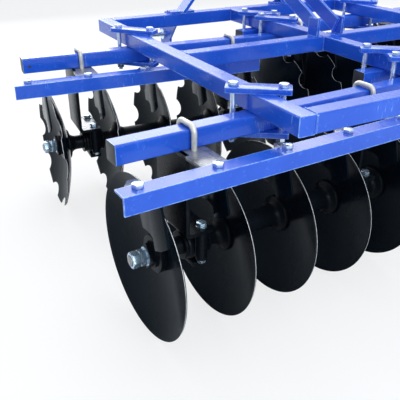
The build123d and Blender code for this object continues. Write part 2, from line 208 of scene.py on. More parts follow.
def frame_paint():
    """Glossy blue paint with orange peel, faint patches, scratches, and pale edges and seams: partly
    rubbed paint, partly a painted highlight where edges catch the light.
    """
    mat, tree, bsdf = material("frame_paint", (0.016, 0.100, 0.61), 0.3, coat=0.25, specular=0.28)
    patches = add_noise(tree, 7, 6, 0.62, low=0.42, high=0.68)
    scuffs = add_noise(tree, 60, 8, 0.7, stretch=(1, 0.25, 1), low=0.56, high=0.80)
    base = mix_color(tree, patches, (0.013, 0.086, 0.57), (0.019, 0.108, 0.64))
    color = mix_color(tree, scuffs, base, (0.036, 0.150, 0.68))
    # Pale edges and seams: partly rubbed paint, partly a painted highlight standing in for edges catching
    # the light.
    edges = edge_wear_and_highlight(tree, 0.005, 0.84, 0.985)
    rubbed_and_highlit = product(tree, edges, add_noise(tree, 55, 6, 0.7, low=0.34, high=0.54))
    color = mix_color(tree, rubbed_and_highlit, color, (0.32, 0.55, 0.95))
    upright = add_noise(tree, 330, 3, 0.6, stretch=(1, 1, 0.09), low=0.61, high=0.67)
    patch = add_noise(tree, 7, 4, 0.6, low=0.57, high=0.66)
    color = mix_color(tree, product(tree, upright, patch), color, (0.24, 0.40, 0.86))
    tree.links.new(color, bsdf.inputs["Base Color"])
    vary_rough(tree, bsdf, scuffs, 0.24, 0.42)
    peel = add_noise(tree, 420, 2, 0.5, low=0.0, high=1.0)
    waves = add_noise(tree, 38, 3, 0.5, low=0.0, high=1.0)
    first = add_bump(tree, bsdf, peel, 0.00008, 0.35)
    add_bump(tree, bsdf, waves, 0.0005, 0.5, first)
    return mat


def disc_enamel():
    """Gloss black enamel over rolled steel, with faint dust and fine scratches."""
    mat, tree, bsdf = material("disc_enamel", (0.008, 0.009, 0.011), 0.2, specular=0.05)
    bsdf.inputs["Specular Tint"].default_value = (0.60, 0.85, 1.0, 1.0)
    dust = add_noise(tree, 9, 6, 0.6, low=0.35, high=0.75)
    fine = add_noise(tree, 300, 4, 0.6, stretch=(1, 1, 0.12), low=0.55, high=0.8)
    color = mix_color(tree, dust, (0.0016, 0.0038, 0.0076), (0.0042, 0.0074, 0.0125))
    tree.links.new(mix_color(tree, fine, color, (0.010, 0.015, 0.021)), bsdf.inputs["Base Color"])
    vary_rough(tree, bsdf, dust, 0.16, 0.30)
    ripple = add_noise(tree, 26, 3, 0.5, low=0.0, high=1.0)
    add_bump(tree, bsdf, ripple, 0.0006, 0.45)
    return mat


def cut_edge_and_glint():
    """Bare steel where a disc's edge was cut, with tool marks across it; its brightness is partly a
    painted highlight for the glint along the rim.
    """
    mat, tree, bsdf = material("cut_edge_and_glint", (0.7, 0.71, 0.73), 0.35, metal=0.5)
    marks = add_noise(tree, 500, 3, 0.6, low=0.35, high=0.65)
    color = mix_color(tree, marks, (0.30, 0.31, 0.33), (0.92, 0.93, 0.95))
    tree.links.new(color, bsdf.inputs["Base Color"])
    vary_rough(tree, bsdf, marks, 0.25, 0.5)
    add_bump(tree, bsdf, marks, 0.0003, 0.5)
    return mat


def black_paint():
    """Thin black paint over castings and plate."""
    mat, tree, bsdf = material("black_paint", (0.008, 0.0085, 0.010), 0.3, specular=0.08)
    grain = add_noise(tree, 160, 6, 0.65, low=0.3, high=0.75)
    wear_and_glint = add_noise(tree, 22, 7, 0.7, low=0.58, high=0.75)
    color = mix_color(tree, wear_and_glint, (0.0046, 0.0066, 0.0098), (0.013, 0.017, 0.023))
    tree.links.new(color, bsdf.inputs["Base Color"])
    vary_rough(tree, bsdf, grain, 0.22, 0.42)
    add_bump(tree, bsdf, grain, 0.0004, 0.6)
    return mat


def plate_steel():
    """Rolled plate under a thin wash of black, with a grey sheen."""
    mat, tree, bsdf = material("plate_steel", (0.22, 0.22, 0.25), 0.32, metal=0.5, specular=0.5)
    cloud = add_noise(tree, 16, 6, 0.65, low=0.35, high=0.7)
    color = mix_color(tree, cloud, (0.13, 0.137, 0.155), (0.43, 0.44, 0.47))
    tree.links.new(color, bsdf.inputs["Base Color"])
    vary_rough(tree, bsdf, cloud, 0.22, 0.38)
    scale = add_noise(tree, 240, 5, 0.6, low=0.2, high=0.8)
    add_bump(tree, bsdf, scale, 0.0002, 0.5)
    return mat


def zinc_plate():
    """Bright zinc plating, faintly clouded."""
    mat, tree, bsdf = material("zinc_plate", (0.55, 0.66, 0.77), 0.24, metal=0.75)
    cloud = add_noise(tree, 70, 5, 0.6, low=0.3, high=0.7)
    color = mix_color(tree, cloud, (0.50, 0.62, 0.75), (0.66, 0.75, 0.85))
    tree.links.new(color, bsdf.inputs["Base Color"])
    vary_rough(tree, bsdf, cloud, 0.18, 0.26)
    pits = add_noise(tree, 600, 3, 0.6, low=0.2, high=0.8)
    add_bump(tree, bsdf, pits, 0.00006, 0.4)
    return mat


def zinc_with_painted_light():
    """Zinc on the gangs' nuts, tinted blue as a painted reflection, with a painted white highlight along
    its edges.
    """
    # These colours are tinted blue as a painted reflection.
    mat, tree, bsdf = material("zinc_with_painted_light", (0.30, 0.46, 0.62), 0.24, metal=0.75)
    cloud = add_noise(tree, 90, 5, 0.6, low=0.3, high=0.7)
    color = mix_color(tree, cloud, (0.34, 0.50, 0.66), (0.54, 0.70, 0.85))
    # Edges painted white: a painted highlight along the chamfers.
    wear_and_glint = edge_wear_and_highlight(tree, 0.003, 0.88, 0.99)
    tree.links.new(mix_color(tree, wear_and_glint, color, (1.0, 1.0, 1.0)), bsdf.inputs["Base Color"])
    vary_rough(tree, bsdf, cloud, 0.18, 0.28)
    pits = add_noise(tree, 600, 3, 0.6, low=0.2, high=0.8)
    add_bump(tree, bsdf, pits, 0.00006, 0.4)
    return mat


def dull_zinc():
    """Hot-dip zinc on the U-bolts, pale and a little rough."""
    mat, tree, bsdf = material("dull_zinc", (0.62, 0.62, 0.58), 0.42, metal=0.45, specular=0.6)
    cloud = add_noise(tree, 45, 6, 0.65, low=0.3, high=0.7)
    color = mix_color(tree, cloud, (0.46, 0.46, 0.44), (0.74, 0.73, 0.69))
    tree.links.new(color, bsdf.inputs["Base Color"])
    vary_rough(tree, bsdf, cloud, 0.34, 0.52)
    pits = add_noise(tree, 350, 4, 0.6, low=0.2, high=0.8)
    add_bump(tree, bsdf, pits, 0.00025, 0.5)
    return mat


def black_plastic_and_hole_shade():
    """Moulded caps in the tube ends; also the dark of the small beam holes, painted as shade."""
    mat, tree, bsdf = material("black_plastic_and_hole_shade", (0.04, 0.041, 0.048), 0.45, specular=0.35)
    grain = add_noise(tree, 700, 2, 0.5, low=0.2, high=0.8)
    dust = add_noise(tree, 30, 5, 0.6, low=0.4, high=0.8)
    color = mix_color(tree, dust, (0.026, 0.028, 0.035), (0.048, 0.050, 0.059))
    tree.links.new(color, bsdf.inputs["Base Color"])
    vary_rough(tree, bsdf, grain, 0.4, 0.55)
    add_bump(tree, bsdf, grain, 0.0001, 0.5)
    return mat


PAINT = frame_paint()
ENAMEL = disc_enamel()
EDGE = cut_edge_and_glint()
BLACK = black_paint()
PLATE = plate_steel()
ZINC = zinc_plate()
ZINC_PAINTED_LIGHT = zinc_with_painted_light()
DULL = dull_zinc()
PLASTIC_AND_HOLE_SHADE = black_plastic_and_hole_shade()


# ---------------------------------------------------------------- shapes

class Shape:
    """Points in millimetres and faces, each face with the material it takes."""

    def __init__(self):
        self.points = []
        self.faces = []
        self.mats = []

    def add(self, points, faces, mat, matrix=None):
        start = len(self.points)
        flip = matrix is not None and matrix.determinant() < 0
        for p in points:
            self.points.append(matrix @ Vector(p) if matrix is not None else Vector(p))
        for face in faces:
            ids = [start + i for i in face]
            self.faces.append(ids[::-1] if flip else ids)
            self.mats.append(mat)
        return self

    def join(self, other, matrix=None):
        start = len(self.points)
        flip = matrix is not None and matrix.determinant() < 0
        self.points += [matrix @ p if matrix is not None else p for p in other.points]
        for face in other.faces:
            ids = [start + i for i in face]
            self.faces.append(ids[::-1] if flip else ids)
        self.mats += other.mats
        return self


def lathe(shape, profile, mat, steps=40, matrix=None):
    """Turns (distance along X, radius) points about the X axis; ends on the axis are closed."""
    points = []
    rings = []
    for x, r in profile:
        if r < 1e-6:
            rings.append([len(points)])
            points.append((x, 0, 0))
            continue
        rings.append(list(range(len(points), len(points) + steps)))
        for i in range(steps):
            a = 2 * math.pi * i / steps
            points.append((x, r * math.cos(a), r * math.sin(a)))
    faces = []
    for a, b in zip(rings, rings[1:]):
        for i in range(steps):
            j = (i + 1) % steps
            if len(a) == 1 and len(b) == 1:
                continue
            if len(a) == 1:
                faces.append((a[0], b[j], b[i]))
            elif len(b) == 1:
                faces.append((a[i], a[j], b[0]))
            else:
                faces.append((a[i], a[j], b[j], b[i]))
    return shape.add(points, faces, mat, matrix)


def prism(shape, outline, low, high, mat, matrix=None):
    """Extrudes an outline in X and Y from low to high along Z."""
    n = len(outline)
    pairs = zip(outline, outline[1:] + outline[:1])
    area = sum(a[0] * b[1] - b[0] * a[1] for a, b in pairs)
    if area < 0:
        outline = outline[::-1]
    points = [(x, y, low) for x, y in outline] + [(x, y, high) for x, y in outline]
    faces = [tuple(range(n))[::-1], tuple(range(n, 2 * n))]
    for i in range(n):
        j = (i + 1) % n
        faces.append((i, j, n + j, n + i))
    return shape.add(points, faces, mat, matrix)


def box(shape, x0, x1, y0, y1, z0, z1, mat, matrix=None):
    return prism(shape, [(x0, y0), (x1, y0), (x1, y1), (x0, y1)], z0, z1, mat, matrix)


def hexagon(shape, across, low, high, mat, matrix=None, chamfers=(0, 1), steps=36):
    """A nut or bolt head along X, with its corners turned down to a cone at the chosen ends."""
    flat = across / 2
    face_r = flat * 0.95
    slope = 0.5

    def ring(x_of, r_of):
        out = []
        for i in range(steps):
            a = 2 * math.pi * i / steps
            r = flat / math.cos((a + math.pi / 6) % (math.pi / 3) - math.pi / 6)
            out.append((x_of(r), r_of(r) * math.cos(a), r_of(r) * math.sin(a)))
        return out

    rings = []
    if 0 in chamfers:
        rings.append(ring(lambda r: low, lambda r: face_r))
    rings.append(ring(lambda r: low + (0 in chamfers) * slope * (r - face_r), lambda r: r))
    rings.append(ring(lambda r: high - (1 in chamfers) * slope * (r - face_r), lambda r: r))
    if 1 in chamfers:
        rings.append(ring(lambda r: high, lambda r: face_r))
    points = [p for r in rings for p in r]
    faces = [tuple(range(steps)), tuple(range(len(points) - steps, len(points)))[::-1]]
    for k in range(len(rings) - 1):
        for i in range(steps):
            j = (i + 1) % steps
            a, b = k * steps, (k + 1) * steps
            faces.append((a + i, b + i, b + j, a + j))
    faces = [f[::-1] for f in faces]
    return shape.add(points, faces, mat, matrix)


def along(origin, direction, turn=0.0):
    """A matrix that carries the X axis onto a direction at an origin."""
    x = Vector(direction).normalized()
    helper = Vector((0, 0, 1)) if abs(x.z) < 0.9 else Vector((0, 1, 0))
    y = helper.cross(x).normalized()
    z = x.cross(y)
    basis = Matrix((x, y, z)).transposed().to_4x4()
    return Matrix.Translation(Vector(origin)) @ basis @ Matrix.Rotation(turn, 4, "X")


def bolt_head(shape, origin, direction, across, height, mat, turn=0.0):
    """Hexagon head with its washer face, standing on a surface."""
    m = along(origin, direction, turn)
    lathe(shape, [(0, 0), (0, across * 0.48), (0.8, across * 0.48), (0.8, 0)], mat, 32, m)
    return hexagon(shape, across, 0.8, height, mat, m, chamfers=(1,))


def washer(shape, origin, direction, r, thick, mat):
    """A round washer with broken edges."""
    edge = 0.6
    profile = [(0, 0), (0, r - edge), (edge, r), (thick - edge, r), (thick, r - edge), (thick, 0)]
    return lathe(shape, profile, mat, 36, along(origin, direction))


def thread(shape, origin, direction, r, length, mat, pitch=2.0):
    """Threaded end of a bolt, with a chamfered tip."""
    profile = [(0, 0), (0, r)]
    x = 0.0
    while x + pitch < length - r * 0.25:
        profile += [(x + pitch * 0.5, r - pitch * 0.45), (x + pitch, r)]
        x += pitch
    profile += [(length - r * 0.2, r * 0.98), (length, r * 0.78), (length, 0)]
    return lathe(shape, profile, mat, 28, along(origin, direction))


def nut(shape, origin, direction, across, thick, mat, turn=0.0):
    return hexagon(shape, across, 0, thick, mat, along(origin, direction, turn))


def sweep(shape, path, r, mat, steps=16, wobble=None):
    """A round rod along a path of points, closed at its ends."""
    path = [Vector(p) for p in path]
    points = []
    normal = None
    for i, p in enumerate(path):
        t = (path[min(i + 1, len(path) - 1)] - path[max(i - 1, 0)]).normalized()
        if normal is None:
            helper = Vector((0, 0, 1)) if abs(t.z) < 0.9 else Vector((1, 0, 0))
            normal = t.cross(helper).normalized()
        normal = (normal - t * normal.dot(t)).normalized()
        side = t.cross(normal)
        size = r * (wobble(i) if wobble else 1)
        for k in range(steps):
            a = 2 * math.pi * k / steps
            points.append(p + (normal * math.cos(a) + side * math.sin(a)) * size)
    faces = [tuple(range(steps))[::-1], tuple(range(len(points) - steps, len(points)))]
    for i in range(len(path) - 1):
        for k in range(steps):
            j = (k + 1) % steps
            a, b = i * steps, (i + 1) * steps
            faces.append((a + k, a + j, b + j, b + k))
    return shape.add(points, faces, mat)


def rounded(points, radius, steps=6):
    """A path with its inner corners rounded."""
    pts = [Vector(p) for p in points]
    out = [pts[0]]
    for a, b, c in zip(pts, pts[1:], pts[2:]):
        u, v = (a - b).normalized(), (c - b).normalized()
        half = u.angle(v) / 2
        reach = radius / math.tan(half)
        centre = b + (u + v).normalized() * radius / math.sin(half)
        start, end = b + u * reach, b + v * reach
        for k in range(steps + 1):
            d = (start - centre).lerp(end - centre, k / steps)
            out.append(centre + d.normalized() * radius)
    out.append(pts[-1])
    return out


def weld(shape, a, b, r=3.2, mat=None):
    """A weld bead: short overlapping ripples along a seam."""
    a, b = Vector(a), Vector(b)
    count = max(6, int((b - a).length / 2.2))
    path = [a.lerp(b, i / count) for i in range(count + 1)]
    path = [p + noise.noise_vector(p * 0.2) * 0.5 for p in path]
    ripple = [0.86 + 0.16 * abs(math.sin(i * 1.1)) + 0.1 * random.random() for i in range(count + 1)]
    return sweep(shape, path, r, mat or PAINT, 10, lambda i: ripple[i])


def make(name, shape, body, bevel=0.0, nodes=()):
    """Turns a shape into a piece that rides on a body, and stands for the named CAD nodes."""
    mesh = bpy.data.meshes.new(name)
    mesh.from_pydata([p * MM for p in shape.points], [], shape.faces)
    used = []
    for mat in shape.mats:
        if mat not in used:
            used.append(mat)
    for mat in used:
        mesh.materials.append(mat)
    mesh.polygons.foreach_set("material_index", [used.index(m) for m in shape.mats])
    mesh.polygons.foreach_set("use_smooth", [True] * len(mesh.polygons))
    mesh.update()
    mesh.validate()
    if bevel:
        bm = bmesh.new()
        bm.from_mesh(mesh)
        sharp = [e for e in bm.edges if e.is_manifold and e.calc_face_angle(0) > math.radians(40)]
        bmesh.ops.bevel(bm, geom=sharp, offset=bevel * MM, segments=2, profile=0.6, affect="EDGES",
                        clamp_overlap=True)
        for face in bm.faces:
            face.smooth = True
        bm.to_mesh(mesh)
        bm.free()
    mesh.set_sharp_from_angle(angle=math.radians(34))
    obj = bpy.data.objects.new(name, mesh)
    bpy.context.scene.collection.objects.link(obj)
    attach(obj, body)
    if nodes:
        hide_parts(*nodes)


def gang_matrix(name):
    """From a gang's own frame into the machine's."""
    gang = GANGS[name]
    side = gang["side"]
    turn = Matrix.Rotation(math.radians(side * gang["angle"]), 4, "Z")
    return Matrix.Translation((0, gang["cross_y"] + SHIFT_Y, 0)) @ turn @ Matrix.Diagonal((side, 1, 1, 1))


# ---------------------------------------------------------------- rolling gangs

def dish(r):
    """How far a disc stands out at a radius."""
    return DISC_DISH * max(0.0, r ** 2 - DISC_FLAT_R ** 2) / (DISC_R ** 2 - DISC_FLAT_R ** 2)


def rim_angles(notched):
    """Angles about the axis, in degrees from the top, at which the disc's outline has points."""
    if not notched:
        return [3.0 * i for i in range(120)]
    period = 360 / NOTCHES
    cosine = (DISC_R ** 2 + NOTCH_CENTRE_R ** 2 - NOTCH_R ** 2) / (2 * DISC_R * NOTCH_CENTRE_R)
    edge = math.degrees(math.acos(cosine))
    offsets = [edge, 8.9, 7.6, 5.6, 3.0]
    offsets = [-o for o in offsets] + [0.0] + offsets[::-1] + [12.0, 15.0, 18.0, 21.0, 24.0]
    return [period * (i + 0.5) + o for i in range(NOTCHES) for o in offsets]


def rim_radius(angle, notched):
    """The disc's radius at an angle, cut back to an arc inside a notch."""
    if not notched:
        return DISC_R
    period = 360 / NOTCHES
    off = math.radians((angle % period) - period / 2)
    reach = NOTCH_R ** 2 - (NOTCH_CENTRE_R * math.sin(off)) ** 2
    if reach <= 0:
        return DISC_R
    return min(DISC_R, NOTCH_CENTRE_R * math.cos(off) - math.sqrt(reach))


def disc(shape, hub, notched, matrix):
    """A dished disc with a bare cut edge, made bright partly as a painted highlight; its hollow side
    faces outward.
    """
    angles = rim_angles(notched)
    n = len(angles)
    shares = [0, 0.19, 0.3, 0.42, 0.54, 0.66, 0.77, 0.87, 0.94, 1.0]
    rings = [(share, 0.0, DISC_THICK) for share in shares] + [(1.0, 0.0, DISC_THICK - EDGE_WIDTH)]
    rings += [(share, -GROUND_BACK * (share == 1.0), 0.0) for share in shares[::-1]]
    points = []
    for share, back, offset in rings:
        for angle in angles:
            r = HOLE_R + (rim_radius(angle, notched) - HOLE_R) * share + back
            a = math.radians(angle)
            points.append((hub + offset + dish(r), AXIS_Y + r * math.sin(a), AXIS_Z + r * math.cos(a)))
    faces, edges = [], []
    for k in range(len(rings)):
        a, b = k * n, (k + 1) % len(rings) * n
        for i in range(n):
            j = (i + 1) % n
            face = (b + i, b + j, a + j, a + i)
            (edges if k == len(shares) - 1 else faces).append(face)
    first = Shape()
    first.add(points, faces + edges, ENAMEL)
    first.mats = [ENAMEL] * len(faces) + [EDGE] * len(edges)
    shape.join(first, matrix)


def bell(start, flange_x, neck_r, flange_r, thick, way):
    """Profile from a spool's neck out to the rim of its flange, as a smooth bell."""
    points = []
    for k in range(7):
        t = k / 6
        x = flange_x - way * (thick + (1 - t) * start)
        points.append((x, neck_r + (flange_r - 3 - neck_r) * (1 - math.sqrt(max(0, 1 - t ** 2.2)))))
    points += [(flange_x - way * thick * 0.8, flange_r - 0.8), (flange_x - way * thick * 0.5, flange_r)]
    points += [(flange_x - way * 1.2, flange_r), (flange_x, flange_r - 1.2)]
    return points


def spool(shape, inner, outer, carried, matrix):
    """Cast spool between two discs, belled at both ends."""
    a, b = inner + DISC_THICK, outer
    neck = CARRIED_NECK_R if carried else NECK_R
    left = bell(28, a, neck, FLANGE_R, FLANGE_THICK, -1)[::-1]
    right = bell(28, b, neck, FLANGE_R, FLANGE_THICK, 1)
    middle = []
    if carried:
        centre = (inner + outer) / 2
        for way in (-1, 1):
            x0, x1 = sorted((centre + way * COLLAR_FROM, centre + way * COLLAR_TO))
            middle += [(x0, neck), (x0 + 0.4, COLLAR_R - 2), (x0 + 2, COLLAR_R)]
            middle += [(x1 - 2, COLLAR_R), (x1 - 0.4, COLLAR_R - 2), (x1, neck)]
    profile = [(a, 0)] + left + middle + right + [(b, 0)]
    lathe(shape, profile, BLACK, 48, matrix @ Matrix.Translation((0, AXIS_Y, AXIS_Z)))


def end_casting(shape, s, way, reach, matrix):
    """Round casting outside the end disc, with a boss under the square washer."""
    face = min(reach - 2, CASTING_FACE)
    r, boss = CASTING_R, CASTING_BOSS_R
    profile = [(0, 0), (0, r - 2), (1.5, r), (face - 2, r), (face - 0.6, r - 0.6), (face, r - 2)]
    profile += [(face, boss), (reach, boss - 1), (reach, 0)]
    turn = Matrix.Diagonal((way, 1, 1, 1))
    lathe(shape, profile, BLACK, 44, matrix @ Matrix.Translation((s, AXIS_Y, AXIS_Z)) @ turn)


def gang_bolt(shape, matrix, washer_turn):
    """Square gang bolt with a square washer at each end, two nuts outside and one inside."""
    outer = HUBS[0] + DISC_THICK + END_REACH
    inner = HUBS[-1] - INNER_CASTING
    out, back = (1, 0, 0), (-1, 0, 0)
    part = Shape()
    h = SHAFT_HALF
    box(part, inner - 15, outer + 15, -h, h, -h, h, BLACK)
    h = SQUARE_HALF
    for x0 in (outer, inner - 10):
        tilt = Matrix.Translation((x0, 0, 0)) @ Matrix.Rotation(math.radians(washer_turn), 4, "X")
        box(part, 0, SQUARE_THICK, -h, h, -h, h, BLACK, tilt)
    nut_x = outer + 14
    washer(part, (outer + SQUARE_THICK, 0, 0), out, 27, 3, ZINC_PAINTED_LIGHT)
    nut(part, (nut_x, 0, 0), out, SHAFT_NUT, 19, ZINC_PAINTED_LIGHT, 0.26)
    nut(part, (nut_x + 20, 0, 0), out, SHAFT_NUT, 22, ZINC_PAINTED_LIGHT, 0.5)
    # A thin black disc on the outer nut's face round the thread: painted shade for the nut's bore.
    bore_shade_x = nut_x + 42.1
    lathe(part, [(bore_shade_x - 1, 0), (bore_shade_x, 0), (bore_shade_x, 16), (bore_shade_x - 1, 16)], BLACK, 32)
    thread(part, (nut_x, 0, 0), out, SHAFT_TIP_R, 46, PLATE, 3.0)
    nut(part, (inner - 10, 0, 0), back, INNER_NUT, 24, ZINC_PAINTED_LIGHT, 0.4)
    thread(part, (inner - 10, 0, 0), back, SHAFT_HALF, 31.5, ZINC_PAINTED_LIGHT, 3.0)
    shape.join(part, matrix @ Matrix.Translation((0, AXIS_Y, AXIS_Z)))


def rolling_gang(name):
    """Everything that turns with one gang: discs, spools and end castings, and the shaft."""
    m = gang_matrix(name)
    body = "gang_" + name
    notched = GANGS[name]["notched"]
    discs = Shape()
    for hub in HUBS:
        disc(discs, hub, notched, m)
    make("disc_blades_" + name, discs, body, 0.5, ["discs_" + name])
    castings = Shape()
    for outer, inner in zip(HUBS, HUBS[1:]):
        spool(castings, inner, outer, (outer + inner) / 2 in BEARINGS, m)
    end_casting(castings, HUBS[0] + DISC_THICK, 1, END_REACH, m)
    end_casting(castings, HUBS[-1], -1, INNER_CASTING, m)
    make("spool_castings_" + name, castings, body, 0, ["spools_" + name])
    bolt = Shape()
    gang_bolt(bolt, m, GANGS[name]["washer_turn"])
    make("gang_shaft_" + name, bolt, body, 0.5, ["gang_bolt_" + name])


# ---------------------------------------------------------------- hangers, bearings, scrapers

def bearing(shape, s, matrix):
    """Cast housing round a spool's neck, hung by two upright bolts from the hanger's flange."""
    part = Shape()
    body = [(-31, 0), (-31, 36), (-29, 39), (-27, 40), (-23, 40), (-20, 43), (-17, 45)]
    lathe(part, body + [(-x, r) for x, r in body[::-1]], BLACK, 48)
    top = HANGER_LOW - AXIS_Z
    low = BOSS_LOW - AXIS_Z
    for way in (-1, 1):
        y = way * BOSS_OUT
        boss = [(low, 0), (low, 14.5), (low + 1.5, 16), (top - 1.5, 16), (top, 14.5), (top, 0)]
        lathe(part, boss, BLACK, 32, along((0, y, 0), (0, 0, 1)))
        flange = top + HANGER_PLATE
        washer(part, (0, y, flange), (0, 0, 1), 15.5, 3, ZINC_PAINTED_LIGHT)
        bolt_head(part, (0, y, flange + 3), (0, 0, 1), BOLT_ACROSS, 11, ZINC_PAINTED_LIGHT, 0.3 * way)
        washer(part, (0, y, low), (0, 0, -1), WASHER_R, 2.4, ZINC_PAINTED_LIGHT)
        nut(part, (0, y, low - 2.4), (0, 0, -1), 22, 9, ZINC_PAINTED_LIGHT, 0.5)
        thread(part, (0, y, low - 2.4), (0, 0, -1), 7, 13, ZINC_PAINTED_LIGHT, 1.75)
    box(part, -19, 19, -BOSS_OUT, BOSS_OUT, -18, top, BLACK)
    box(part, -20, 20, -42, 42, -55, -41, BLACK)
    nipple = [(0, 0), (0, 5), (3, 5), (4, 3.4), (7, 3.4), (8.5, 2), (8.5, 0)]
    lathe(part, nipple, ZINC_PAINTED_LIGHT, 20, along((24, 0, 43), (0, 0.2, 1)))
    shape.join(part, matrix @ Matrix.Translation((s, AXIS_Y, AXIS_Z)))


def bent_strip(outline, y0, y1, mat, shape):
    """A plate bent along Y: its cross-section in X and Z, pushed from y0 to y1."""
    swap = Matrix(((1, 0, 0, 0), (0, 0, -1, 0), (0, 1, 0, 0), (0, 0, 0, 1)))
    return prism(shape, outline, -y1, -y0, mat, swap)


def arc(cx, cz, r, start, end, steps=7):
    """Points on an arc, angles in degrees from +X toward +Z."""
    out = []
    for k in range(steps + 1):
        a = math.radians(start + (end - start) * k / steps)
        out.append((cx + r * math.cos(a), cz + r * math.sin(a)))
    return out


def hanger(shape, s, flange_light_and_shade, matrix):
    """Plate bent to a C: a foot under beam and scraper bar, a leg, a flange on the bearing."""
    part = Shape()
    top, low, thick = BEAM_UNDERSIDE, HANGER_LOW, HANGER_PLATE
    inner, outer = s - 20, s + HANGER_OUTER
    bend = 12
    flange = low + thick
    outline = [(inner, low)] + arc(outer - bend, low + bend, bend, -90, 0)
    outline += [(outer, top), (outer - thick, top)]
    outline += arc(outer - thick - 4, flange + 4, 4, 0, -90) + [(inner, flange)]
    bent_strip(outline, LEG_Y0, LEG_Y1, BLACK, part)
    # A thin skin on the flange's top: painted light, lighter plate where light falls on it, black where
    # it lies in shade.
    flange_light_skin = (LEG_Y0 + 0.6, LEG_Y1 - 0.6, flange, flange + 0.3)
    box(part, inner + 0.6, outer - 14, *flange_light_skin, flange_light_and_shade)
    box(part, s - HANGER_INNER, outer, BAR_REAR + 5, LEG_Y1, top - thick, top, PLATE)
    x, z = outer - thick - 1, top - thick - 1
    weld(part, (x, LEG_Y0 + 2, z), (x, LEG_Y1 - 2, z), 3.4, BLACK)
    shape.join(part, matrix)


def u_bolt(shape, s, matrix):
    """U-bolt over the beam, nutted under the foot plate."""
    part = Shape()
    x = s + U_BOLT_OUT
    under = BEAM_UNDERSIDE - HANGER_PLATE
    crown = BEAM_TOP + U_ROD_R + 1.5
    y = U_ROD_OUT
    down = (0, 0, -1)
    path = [(x, -y, under - 20), (x, -y, crown), (x, y, crown), (x, y, under - 20)]
    sweep(part, rounded(path, U_BEND, 8), U_ROD_R, DULL, 20)
    for y in (-U_ROD_OUT, U_ROD_OUT):
        washer(part, (x, y, under), down, WASHER_R, 2.6, ZINC)
        nut(part, (x, y, under - 2.6), down, BOLT_ACROSS, 12, ZINC, 0.35)
        thread(part, (x, y, under - 14), down, U_ROD_R + 0.1, 8, ZINC)
    shape.join(part, matrix)


def scraper(shape, bolts, hub, swing, matrix):
    """Scraper: a foot bolted under the bar, bent down into a blade beside the hollow face."""
    bolt_s = hub + SCRAPER_BOLT_OUT
    shares_bolt = any(-HANGER_INNER < bolt_s - s < HANGER_OUTER for s in BEARINGS)
    top = BEAM_UNDERSIDE - HANGER_PLATE if shares_bolt else BEAM_UNDERSIDE
    rear, front = BAR_REAR + 5, SCRAPER_FRONT
    s, out = hub + BLADE_OUT, bolt_s + 21
    blade = [(-143, top - 1), (-151, 475), (-167, 425), (-181, 378), (-178, 374)]
    blade += [(-148, 351), (-118, 338), (-110, 368), (-91, 374), (-57, 371)]
    blade += [(-47, 402), (-85, 470), (-122, top - 1)]
    swung = [(y + swing if z < BEND_Z else y, z) for y, z in blade]
    swap = Matrix(((0, 0, 1, 0), (1, 0, 0, 0), (0, 1, 0, 0), (0, 0, 0, 1)))
    part = Shape()
    prism(part, swung, s, s + BLADE_THICK, ENAMEL, swap)
    foot = [(s, rear), (s, -141), (s + 29, -127), (s + 37, front - 2), (s + 57, front)]
    foot += [(out - 1, -122), (out, -126), (out, rear)]
    prism(part, foot, top - BLADE_THICK, top, PLATE)
    bolt_y = BAR_REAR + SCRAPER_BOLT_IN
    up, down = (0, 0, 1), (0, 0, -1)
    head = Shape()
    angle_top = BEAM_UNDERSIDE + 5
    bolt_head(head, (bolt_s, bolt_y, angle_top), up, BOLT_ACROSS, 10, ZINC, random.uniform(0, 1))
    washer(head, (bolt_s, bolt_y, top - BLADE_THICK), down, WASHER_R, 2.5, ZINC)
    nut(head, (bolt_s, bolt_y, top - 8.5), down, BOLT_ACROSS, 12, ZINC, random.uniform(0, 1))
    thread(head, (bolt_s, bolt_y, top - 20), down, BOLT_R, 8, ZINC)
    shape.join(part, matrix)
    bolts.join(head, matrix)


def carried_parts():
    """What hangs from the beams: bearings, hangers, U-bolts, scrapers, and the beams' caps."""
    u_bolts = Shape()
    bolts = Shape()
    caps = Shape()
    for name in GANGS:
        m = gang_matrix(name)
        houses, legs, blades = Shape(), Shape(), Shape()
        for s in BEARINGS:
            bearing(houses, s, m)
            # Flange tops: lighter plate on the front gangs as a painted highlight, black on the rear
            # gangs as painted shade under beam and bar.
            hanger(legs, s, PLATE if GANGS[name]["notched"] else BLACK, m)
            u_bolt(u_bolts, s, m)
        for hub in HUBS:
            scraper(blades, bolts, hub, 0 if hub == HUBS[0] else INNER_SWING, m)
        for end, way in ((BEAM_OUTER, 1), (BEAM_INNER, -1)):
            cap(caps, end, way, m)
        make("bearing_housings_" + name, houses, "frame", 0.8, ["bearings_" + name])
        make("hanger_plates_" + name, legs, "frame", 0.8, ["hangers_" + name])
        make("scraper_blades_" + name, blades, "frame", 0.8, ["scrapers_" + name])
    make("u_bolts", u_bolts, "frame", 0, ["hanger_u_bolts"])
    make("scraper_bolts", bolts, "frame", 0.3)
    make("beam_caps", caps, "frame", 0.8)


def beam_holes():
    """A dark ring of painted shade standing for the small hole in the rear face near each front beam's
    outer end.
    """
    shape = Shape()
    for name in ("front_left", "front_right"):
        spot = along((BEAM_OUTER - 22, -TUBE / 2 - 0.05, BEAM_UNDERSIDE + 24), (0, -1, 0))
        profile = [(0, 0), (0.05, 3.6), (0.3, 4.6), (0.05, 5.2), (0, 5.2)]
        lathe(shape, profile, PLASTIC_AND_HOLE_SHADE, 28, gang_matrix(name) @ spot)
    make("beam_holes", shape, "frame")


